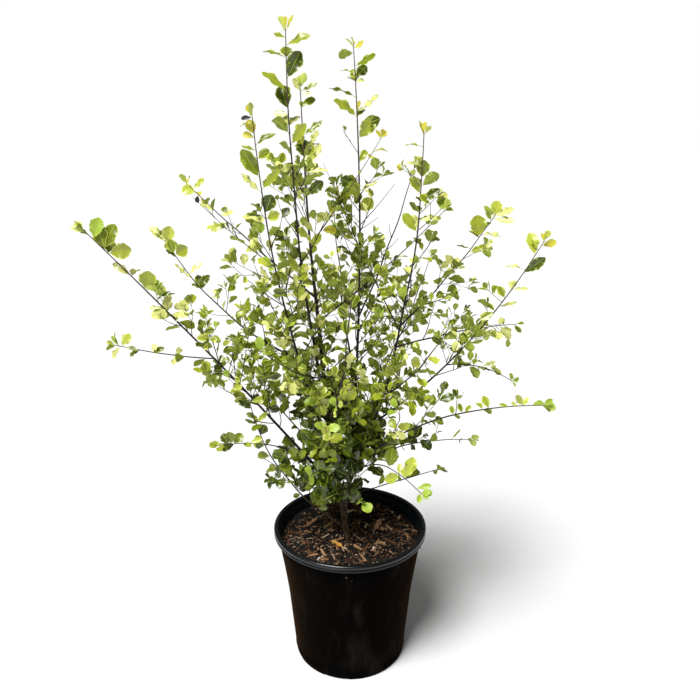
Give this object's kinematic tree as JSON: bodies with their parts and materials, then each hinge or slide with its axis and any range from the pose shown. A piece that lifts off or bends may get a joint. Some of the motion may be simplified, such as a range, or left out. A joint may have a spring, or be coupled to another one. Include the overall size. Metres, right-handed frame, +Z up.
{
  "type": "potted pittosporum shrub",
  "caption": "Young evergreen shrub with open wavy-leaved foliage on upright dark stems, growing in a round black tapered nursery pot filled with bark mix.",
  "frame": {"origin": "centre of the pot's flat underside, on the surface that the pot stands on", "axes": "+Z up along the pot's axis; -Y towards the viewer of the picture, +X to the viewer's right"},
  "size_m": [0.8405, 0.6681, 1.1922],
  "materials": {
    "pot_plastic": "black moulded plastic, satin sheen on the rim, faint dust",
    "potting_mix": "moist dark composted bark with chips",
    "bark": "dark brown fissured bark, near black on young stems",
    "foliage": "glossy mid green leaves, yellow green at the shoot tips"
  },
  "bodies": {
    "root": {"bough_back_high": "bark", "bough_back_left": "bark", "bough_back_left_high": "bark", "bough_back_left_low": "bark", "bough_back_right": "bark", "bough_crossing_right": "bark", "bough_far_left": "bark", "bough_far_right": "bark", "bough_front_high": "bark", "bough_front_right": "bark", "bough_level_right": "bark", "bough_low_left": "bark", "bough_low_right": "bark", "bough_lowest_left": "bark", "bough_mid_left": "bark", "bough_tall_left": "bark", "bough_tall_right": "bark", "bough_upper_left": "bark", "bough_upper_right": "bark", "foliage_back_high": "foliage", "foliage_back_left": "foliage", "foliage_back_left_high": "foliage", "foliage_back_left_low": "foliage", "foliage_back_low": "foliage", "foliage_back_right": "foliage", "foliage_back_right_high": "foliage", "foliage_back_right_low": "foliage", "foliage_crossing_right": "foliage", "foliage_drooping_right": "foliage", "foliage_far_left": "foliage", "foliage_far_right": "foliage", "foliage_front_high": "foliage", "foliage_front_left": "foliage", "foliage_front_low": "foliage", "foliage_front_mid": "foliage", "foliage_front_right": "foliage", "foliage_heart_back": "foliage", "foliage_heart_front": "foliage", "foliage_heart_high_back": "foliage", "foliage_heart_high_front": "foliage", "foliage_heart_high_right": "foliage", "foliage_heart_left": "foliage", "foliage_heart_right": "foliage", "foliage_leader": "foliage", "foliage_level_left": "foliage", "foliage_level_right": "foliage", "foliage_low_left": "foliage", "foliage_low_right": "foliage", "foliage_lowest_left": "foliage", "foliage_mid_left": "foliage", "foliage_mid_right": "foliage", "foliage_second_leader": "foliage", "foliage_tall_left": "foliage", "foliage_tall_right": "foliage", "foliage_upper_left": "foliage", "foliage_upper_right": "foliage", "pot": "pot_plastic", "potting_mix": "potting_mix", "trunk": "bark", "trunk_second": "bark"}
  },
  "joints": []
}
